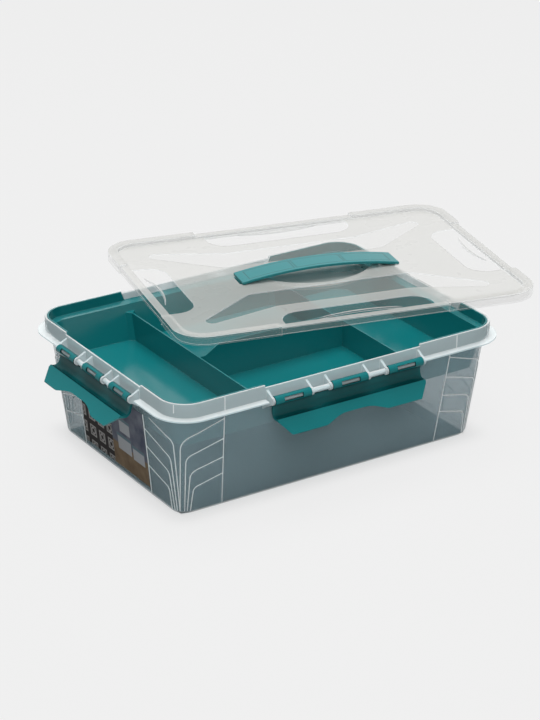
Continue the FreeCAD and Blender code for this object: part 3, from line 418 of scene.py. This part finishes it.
# Painted shade: the grooves' outlines are drawn darker, towards the colour below, for the shade in them.
GROOVE_SHADE_SHARE = 0.7
GROOVE_PAINTED_SHADE = (0.004, 0.090, 0.098, 1)
# Painted sheen: the strap's teal is lighter than the tray's for the top light it catches.
PAINTED_SHEEN_STRAP_DARK = (0.024, 0.232, 0.248)
PAINTED_SHEEN_STRAP_PALE = (0.027, 0.248, 0.264)
lid_frame = Matrix((LID_ALONG, lid_across, LID_UP)).transposed()
strap_sheen_and_shade = moulded("teal_strap_painted_sheen", PAINTED_SHEEN_STRAP_DARK, PAINTED_SHEEN_STRAP_PALE, 0.18, specular=0.25)
strap_place = strap_sheen_and_shade.add("ShaderNodeMapping", {
    "Vector": strap_sheen_and_shade.place(), "Location": LID_MIDDLE, "Rotation": lid_frame.to_euler()},
    vector_type="TEXTURE").outputs[0]
along, across, _ = strap_sheen_and_shade.add("ShaderNodeSeparateXYZ", {0: strap_place}).outputs
beside = strap_sheen_and_shade.math("SUBTRACT", strap_sheen_and_shade.math("ABSOLUTE", across), PANEL_HALF_WIDTH)
from_middle = strap_sheen_and_shade.math("ABSOLUTE", along)
lines = []
for middle, half in ((0, MIDDLE_PANEL), (END_PANEL_MIDDLE, END_PANEL)):
    outward = strap_sheen_and_shade.math("ABSOLUTE", strap_sheen_and_shade.math("SUBTRACT", from_middle, middle))
    outline = strap_sheen_and_shade.largest(strap_sheen_and_shade.math("SUBTRACT", outward, half), beside)
    lines.append(strap_sheen_and_shade.span(strap_sheen_and_shade.math("ABSOLUTE", outline), 1, 0, GROOVE * 0.5, GROOVE * 1.5))
grooves = strap_sheen_and_shade.largest(*lines)
groove_shade_share = strap_sheen_and_shade.math("MULTIPLY", grooves, GROOVE_SHADE_SHARE)
strap_sheen_and_shade.feed("Base Color", strap_sheen_and_shade.mix_colour(groove_shade_share, strap_sheen_and_shade.colour, GROOVE_PAINTED_SHADE))
strap_sheen_and_shade.bump(strap_sheen_and_shade.math("MULTIPLY", grooves, -1.0), 0.5, 0.4 * MM)
strap = rounded_copy("carry_handle", "strap", strap_sheen_and_shade.material, 0.5 * MM)

# %% [markdown]
# Fine raised lines decorate the tub's corners: on each wall four lines leave an upright, slope down towards
# the corner, bend and run to the foot. They follow the wall, so Geometry Nodes draw them: the lines are
# plain edges on a flat sheet, their bends are filleted, and the nodes then wrap the sheet round the leaning
# corner by the wall's own rule, sweep a round profile along it and mirror the result to all four corners.
# Modelling each line by hand would take far longer and would not sit on the curved corner so well.

# %% The tree that wraps lines round a corner
WRAP_SIZES = ("Foot Half Length", "Foot Half Width", "Foot Radius", "Foot Height",
              "Head Half Length", "Head Half Width", "Head Radius", "Head Height")


def corner_line_tree(material):
    """A tree that wraps flat lines (along, 0, height) round all four corners of a leaning wall."""
    tree = bpy.data.node_groups.new("corner_lines", "GeometryNodeTree")
    tree.interface.new_socket(name="Lines", in_out="INPUT", socket_type="NodeSocketGeometry")
    for name in (*WRAP_SIZES, "Corner Arc", "Line Radius", "Point Spacing"):
        tree.interface.new_socket(name=name, in_out="INPUT", socket_type="NodeSocketFloat")
    tree.interface.new_socket(name="Mesh", in_out="OUTPUT", socket_type="NodeSocketGeometry")
    sketch = NodeSketch(tree)
    given = sketch.add("NodeGroupInput").outputs
    curve = sketch.add("GeometryNodeMeshToCurve", {"Mesh": given["Lines"]}).outputs[0]
    bend = sketch.add("GeometryNodeInputNamedAttribute", {"Name": "bend_radius"}, data_type="FLOAT")
    curve = sketch.add("GeometryNodeFilletCurve", {"Curve": curve, "Count": 6, "Radius": bend.outputs[0],
                                                   "Limit Radius": True}, mode="POLY").outputs[0]
    curve = sketch.add("GeometryNodeResampleCurve", {"Curve": curve, "Length": given["Point Spacing"]},
                       mode="LENGTH").outputs[0]
    along, _, height = sketch.add("ShaderNodeSeparateXYZ",
                                  {0: sketch.add("GeometryNodeInputPosition").outputs[0]}).outputs
    rise = sketch.math("SUBTRACT", given["Head Height"], given["Foot Height"])
    share = sketch.math("DIVIDE", sketch.math("SUBTRACT", height, given["Foot Height"]), rise)

    def between(size):
        foot = given[f"Foot {size}"]
        step = sketch.math("SUBTRACT", given[f"Head {size}"], foot)
        return sketch.math("ADD", foot, sketch.math("MULTIPLY", step, share))

    radius = between("Radius")
    round_part = sketch.math("MAXIMUM", sketch.math("MINIMUM", along, given["Corner Arc"]), 0.0)
    angle = sketch.math("MULTIPLY", sketch.math("DIVIDE", round_part, given["Corner Arc"]), math.pi / 2)
    angle = sketch.math("SUBTRACT", 1.5 * math.pi, angle)
    x = sketch.math("SUBTRACT", radius, between("Half Length"))
    x = sketch.math("ADD", x, sketch.math("MULTIPLY", radius, sketch.math("COSINE", angle)))
    x = sketch.math("SUBTRACT", x, sketch.math("MINIMUM", along, 0.0))
    y = sketch.math("SUBTRACT", radius, between("Half Width"))
    y = sketch.math("ADD", y, sketch.math("MULTIPLY", radius, sketch.math("SINE", angle)))
    beyond = sketch.math("SUBTRACT", along, given["Corner Arc"])
    y = sketch.math("ADD", y, sketch.math("MAXIMUM", beyond, 0.0))
    wrapped = sketch.add("ShaderNodeCombineXYZ", {0: x, 1: y, 2: height}).outputs[0]
    curve = sketch.add("GeometryNodeSetPosition", {"Geometry": curve, "Position": wrapped}).outputs[0]
    ring = sketch.add("GeometryNodeCurvePrimitiveCircle", {"Resolution": 6, "Radius": given["Line Radius"]})
    mesh = sketch.add("GeometryNodeCurveToMesh", {"Curve": curve, "Profile Curve": ring.outputs[0],
                                                  "Fill Caps": True}).outputs[0]
    for mirror in ((-1, 1, 1), (1, -1, 1)):
        turned = sketch.add("GeometryNodeTransform", {"Geometry": mesh, "Scale": mirror}).outputs[0]
        turned = sketch.add("GeometryNodeFlipFaces", {"Mesh": turned}).outputs[0]
        both = sketch.add("GeometryNodeJoinGeometry")
        for half in (mesh, turned):
            sketch.links.new(half, both.inputs[0])
        mesh = both.outputs[0]
    mesh = sketch.add("GeometryNodeSetShadeSmooth", {"Geometry": mesh}).outputs[0]
    mesh = sketch.add("GeometryNodeRealizeInstances", {"Geometry": mesh}).outputs[0]
    mesh = sketch.add("GeometryNodeSetMaterial", {"Geometry": mesh, "Material": material}).outputs[0]
    sketch.add("NodeGroupOutput", {"Mesh": mesh})
    return tree


line_milk = moulded("milky_line", (0.90, 0.93, 0.93), (0.93, 0.95, 0.95), 0.3, 0.9, 0.3).material
line_tree = corner_line_tree(line_milk)
print("tree inputs:", [item.name for item in line_tree.interface.items_tree if item.in_out == "INPUT"])

# %% [markdown]
# Each line starts as a chain of points on the flat sheet, and every point keeps the radius of its bend.
# Curves could be drawn in the editor, but points in millimetres can be read off the object and changed one
# by one. The tree makes them a mesh, which rides on the box.

# %% Drawing lines with that tree
CORNER_ARC = 30 * MM


def corner_lines(name, routes, sizes, line_radius):
    """Lines of (along, height, bend radius) points in millimetres, wrapped round a wall of given sizes."""
    points = []
    edges = []
    bends = []
    for route in routes:
        for number, (along, height, bend) in enumerate(route):
            if number:
                edges.append((len(points) - 1, len(points)))
            points.append((along * MM, 0, height * MM))
            bends.append(bend * MM)
    mesh = bpy.data.meshes.new(name)
    mesh.from_pydata(points, edges, [])
    mesh.attributes.new("bend_radius", "FLOAT", "POINT").data.foreach_set("value", bends)
    piece = bpy.data.objects.new(name, mesh)
    scene.collection.objects.link(piece)
    modifier = piece.modifiers.new("wrap", "NODES")
    modifier.node_group = line_tree
    values = {size: number * MM for size, number in zip(WRAP_SIZES, sizes)}
    values |= {"Corner Arc": CORNER_ARC, "Line Radius": line_radius, "Point Spacing": 2 * MM}
    for item in line_tree.interface.items_tree:
        if item.name in values:
            modifier[item.identifier] = values[item.name]
    apply_modifiers(piece)
    piece.data.name = name
    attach(piece, "box")
    print(name, "faces:", len(piece.data.polygons))


# %% [markdown]
# The routes were read off the object: where each line leaves its upright, where it bends and where it meets
# the foot. Along the wall, nought is where the front wall starts to turn, and the arc is thirty millimetres
# long. Lines on the short wall run the other way, so their places count back from the arc's far end.

# %% The corner lines
FOOT = 4
ARC = CORNER_ARC / MM
LINE_RADIUS = 0.5 * MM
WALL_SIZES = (172, 115.5, 16, 3, 182.5, 132.5, 23.5, 109.6)
COLLAR_SIZES = (187.5, 137.5, 28.5, 0, 187.5, 137.5, 28.5, 125.5)


def bent_line(start, start_height, corner, corner_height, foot, bend):
    """A line from its upright to a rounded bend and on to the foot of the wall."""
    return [(start, start_height, 0), (corner, corner_height, bend), (foot, FOOT, 0)]


front_routes = [
    [(-28.5, 101.5, 0), (-31.5, FOOT, 0)],
    bent_line(-28.4, 99.5, 14.6, 86.0, 15.6, 17),
    bent_line(-29.2, 77.0, 9.8, 66.5, 10.5, 10),
    bent_line(-29.8, 56.0, 5.3, 48.2, 7.5, 8.5),
    bent_line(-30.4, 37.5, 1.3, 29.5, 3.9, 6),
]
short_wall_routes = [
    [(-42.3, 90.0, 0), (-34.5, FOOT, 0)],
    bent_line(-30.0, 91.5, 8.6, 83.5, 14.1, 9),
    bent_line(-41.0, 75.5, 5.0, 63.0, 11.1, 7),
    bent_line(-39.2, 56.5, 2.0, 45.4, 8.1, 7),
    bent_line(-37.3, 35.5, 0.6, 26.8, 3.9, 6),
]
routes = front_routes + [[(ARC - along, height, bend) for along, height, bend in route]
                         for route in short_wall_routes]
collar_routes = [
    [(-25.5, 110.5, 0), (-25.5, 124.5, 0)],
    [(0.6 * ARC, 116.0, 0), (0.6 * ARC, 124.5, 0)],
]
corner_lines("wall_lines", routes, WALL_SIZES, LINE_RADIUS)
corner_lines("collar_lines", collar_routes, COLLAR_SIZES, LINE_RADIUS)

# %% [markdown]
# The label on the left wall is a printed sheet. A plain design of its own stands there: a dark band with
# line signs of circles in squares, beside a calm picture of stacked boxes on a table. An image would be the
# usual way, but shapes worked out from the object's coordinates stay sharp and need no file.

# %% The label's print
PRINT_BLUR = 0.2 * MM
PRINT_LINE = 0.7 * MM
SIGN_PITCH = 18 * MM
SIGN_HALF = 5.2 * MM
CIRCLE_SHARE = 0.62
label_print = Finish("label_print")
_, label_y, label_z = label_print.add("ShaderNodeSeparateXYZ", {0: label_print.place()}).outputs
label_u = label_print.math("MULTIPLY", label_y, -1.0)


def box_distance(u, v, middle_u, middle_v, half_u, half_v):
    """Distance outside an upright rectangle on the label, negative inside."""
    sides = []
    for place, middle, half in ((u, middle_u, half_u), (v, middle_v, half_v)):
        apart = label_print.math("ABSOLUTE", label_print.math("SUBTRACT", place, middle))
        sides.append(label_print.math("SUBTRACT", apart, half))
    return label_print.largest(*sides)


def inside(distance):
    """One inside a shape on the label and nought outside, with a soft border."""
    return label_print.span(distance, 1, 0, -PRINT_BLUR, PRINT_BLUR)


def outlined(distance):
    """One along the border of a shape on the label and nought elsewhere."""
    return label_print.span(label_print.math("ABSOLUTE", distance), 1, 0, PRINT_LINE, PRINT_LINE * 1.4)


def within_cell(distance):
    """Distance from the middle of the sign that a point belongs to."""
    share = label_print.math("FRACT", label_print.math("DIVIDE", distance, SIGN_PITCH))
    return label_print.math("MULTIPLY", label_print.math("SUBTRACT", share, 0.5), SIGN_PITCH)


cell_u = within_cell(label_print.math("ADD", label_u, 10 * SIGN_PITCH))
cell_v = within_cell(label_z)
cell_place = label_print.add("ShaderNodeCombineXYZ", {0: cell_u, 1: cell_v}).outputs[0]
from_centre = label_print.add("ShaderNodeVectorMath", {0: cell_place}, operation="LENGTH").outputs["Value"]
round_sign = label_print.math("SUBTRACT", from_centre, SIGN_HALF * CIRCLE_SHARE)
square_sign = box_distance(cell_u, cell_v, 0, 0, SIGN_HALF, SIGN_HALF)
signs = label_print.largest(outlined(round_sign), outlined(square_sign))
print("label signs every", SIGN_PITCH / MM, "mm")

# %% [markdown]
# The picture half of the label is drawn the same way: a wall and a table in two tones, three pale boxes
# with darker lids, and a soft mottle so that the print does not look flat.

# %% The label's picture and paper
PICTURE_LEFT = -4 * MM
TABLE_TOP = 36 * MM
STACK_MM = ((20, 38, 13, 8), (47, 36, 11, 7), (23, 58, 10, 7))
BAND_HALF = 1.6 * MM
BAND_OVERHANG = 1 * MM
PALE_BOX = (0.36, 0.38, 0.40, 1)
BOX_LID = (0.10, 0.16, 0.19, 1)
BAND_BLACK = (0.013, 0.011, 0.011, 1)
SIGN_PALE = (0.42, 0.41, 0.40, 1)
mottle = label_print.uneven(label_print.noise(60.0, 4.0), 0, 1)
back_wall = label_print.mix_colour(mottle, (0.050, 0.060, 0.095, 1), (0.150, 0.165, 0.200, 1))
table = label_print.mix_colour(mottle, (0.120, 0.080, 0.045, 1), (0.210, 0.150, 0.090, 1))
on_table = inside(box_distance(label_u, label_z, 0, 0, 1, TABLE_TOP))
picture = label_print.mix_colour(on_table, back_wall, table)
for sizes in STACK_MM:
    middle_u, middle_v, half_u, half_v = (size * MM for size in sizes)
    body = inside(box_distance(label_u, label_z, middle_u, middle_v, half_u, half_v))
    picture = label_print.mix_colour(body, picture, PALE_BOX)
    band = box_distance(label_u, label_z, middle_u, middle_v + half_v, half_u + BAND_OVERHANG, BAND_HALF)
    picture = label_print.mix_colour(inside(band), picture, BOX_LID)
dark_band = label_print.mix_colour(label_print.math("MULTIPLY", signs, 0.8), BAND_BLACK, SIGN_PALE)
on_band = inside(label_print.math("SUBTRACT", label_u, PICTURE_LEFT))
label_print.feed("Base Color", label_print.mix_colour(on_band, picture, dark_band))
label_print.feed("Roughness", label_print.uneven(label_print.noise(40.0), 0.34, 0.42))
label_print.feed("Specular IOR Level", 0.02)
label_print.bump(label_print.noise(700.0), 0.02, 0.2 * MM)
label = rounded_copy("side_label", "label", label_print.material, 0.02 * MM)

# %% [markdown]
# The stage is a wide pale floor. What the camera sees of it is the photograph's pale grey. Close to the box
# it keeps the box's soft shadow, and further out a share of its own glow evens it, as a cut-out backdrop
# does. Under the box it has no glow, because that would shine through the clear tub.

# %% Floor
PALE = (0.863, 0.863, 0.863, 1)
BOUNCE = (0.72, 0.72, 0.72, 1)
FOOTPRINT_HALVES = (0.166, 0.110)
FOOTPRINT_EDGE = 0.5 * MM
GLOW_REACH = 32 * MM
GLOW_NEAR = 0.72
GLOW_FAR = 0.95
FLOOR_HALF = 12.0
FLOOR_LEVEL = -0.2 * MM
floor_material = bpy.data.materials.new("pale_floor")
floor_material.use_nodes = True
floor_sketch = NodeSketch(floor_material.node_tree)
floor_sketch.nodes.remove(floor_sketch.nodes["Principled BSDF"])
rays = floor_sketch.add("ShaderNodeLightPath").outputs
seen = floor_sketch.largest(rays["Is Camera Ray"], rays["Is Glossy Ray"], rays["Is Transmission Ray"])
floor_place = floor_sketch.add("ShaderNodeTexCoord").outputs["Object"]
floor_x, floor_y, _ = floor_sketch.add("ShaderNodeSeparateXYZ", {0: floor_place}).outputs
squares = []
for place, half in zip((floor_x, floor_y), FOOTPRINT_HALVES):
    off = floor_sketch.math("SUBTRACT", floor_sketch.math("ABSOLUTE", place), half)
    off = floor_sketch.math("MAXIMUM", off, 0)
    squares.append(floor_sketch.math("MULTIPLY", off, off))
reach = floor_sketch.math("SQRT", floor_sketch.total(*squares))
glow = floor_sketch.add("ShaderNodeMapRange", {"Value": reach, "From Min": 0.0, "From Max": GLOW_REACH,
                                               "To Min": GLOW_NEAR, "To Max": GLOW_FAR},
                        interpolation_type="SMOOTHSTEP").outputs[0]
beside_box = floor_sketch.math("GREATER_THAN", reach, FOOTPRINT_EDGE)
glow = floor_sketch.math("MULTIPLY", glow, beside_box)
lit = floor_sketch.add("ShaderNodeBsdfDiffuse", {"Color": PALE}).outputs[0]
glowing = floor_sketch.add("ShaderNodeEmission", {"Color": PALE, "Strength": 1.0}).outputs[0]
pale = floor_sketch.add("ShaderNodeMixShader", {0: glow, 1: lit, 2: glowing}).outputs[0]
bounced = floor_sketch.add("ShaderNodeBsdfDiffuse", {"Color": BOUNCE}).outputs[0]
both = floor_sketch.add("ShaderNodeMixShader", {0: seen, 1: bounced, 2: pale}).outputs[0]
floor_sketch.links.new(both, floor_sketch.nodes["Material Output"].inputs["Surface"])
floor_mesh = bpy.data.meshes.new("floor")
corners = [(x * FLOOR_HALF, y * FLOOR_HALF, FLOOR_LEVEL) for x, y in ((-1, -1), (1, -1), (1, 1), (-1, 1))]
floor_mesh.from_pydata(corners, [], [(0, 1, 2, 3)])
floor_mesh.materials.append(floor_material)
floor = bpy.data.objects.new("floor", floor_mesh)
scene.collection.objects.link(floor)
print("floor half width:", FLOOR_HALF, "m")

# %% [markdown]
# Soft light comes from above, as in the photograph, where the front walls and the insides of the latches
# are darker than the lid. A ring of lamps could do it, but a large lamp overhead, a weak one in front and a
# sky that brightens upwards are softer and simpler. The camera and the reflections see the plain pale
# backdrop.

# %% World and lamps
SKY_LEVEL = 0.02
SKY_RISE = 0.6
SKY_BACK = 0.1
LAMP_AIM = Vector((0.05, 0.05, 0.05))
LAMPS = {"top_softbox": ((0.15, 0.35, 2.4), 2.0, 44), "front_softbox": ((-0.9, -1.6, 1.5), 1.2, 16)}
world = bpy.data.worlds.new("studio")
scene.world = world
world.use_nodes = True
sky = NodeSketch(world.node_tree)
rays = sky.add("ShaderNodeLightPath").outputs
direction = sky.add("ShaderNodeTexCoord").outputs["Generated"]
_, back, up = sky.add("ShaderNodeSeparateXYZ", {0: direction}).outputs
lean = sky.total(1.0, sky.math("MULTIPLY", back, SKY_BACK))
rise = sky.math("MULTIPLY", sky.math("POWER", sky.math("MAXIMUM", up, 0.0), 2.0), SKY_RISE)
level = sky.math("MULTIPLY", sky.total(rise, SKY_LEVEL), lean)
light = sky.add("ShaderNodeBackground", {"Color": (1, 1, 1, 1), "Strength": level})
seen = sky.largest(rays["Is Camera Ray"], rays["Is Glossy Ray"], rays["Is Transmission Ray"])
backdrop = sky.nodes["Background"]
backdrop.inputs["Color"].default_value = PALE
backdrop.inputs["Strength"].default_value = 1.0
mixed = sky.add("ShaderNodeMixShader", {0: seen, 1: light.outputs[0], 2: backdrop.outputs[0]}).outputs[0]
sky.links.new(mixed, sky.nodes["World Output"].inputs["Surface"])
for name, (place, size, power) in LAMPS.items():
    lamp_data = bpy.data.lights.new(name, "AREA")
    lamp_data.shape = "DISK"
    lamp_data.size = size
    lamp_data.energy = power
    lamp = bpy.data.objects.new(name, lamp_data)
    lamp.location = place
    lamp.rotation_euler = (LAMP_AIM - lamp.location).to_track_quat("-Z", "Y").to_euler()
    scene.collection.objects.link(lamp)
    print(name, power, "W")
scene.cycles.transparent_max_bounces = 32
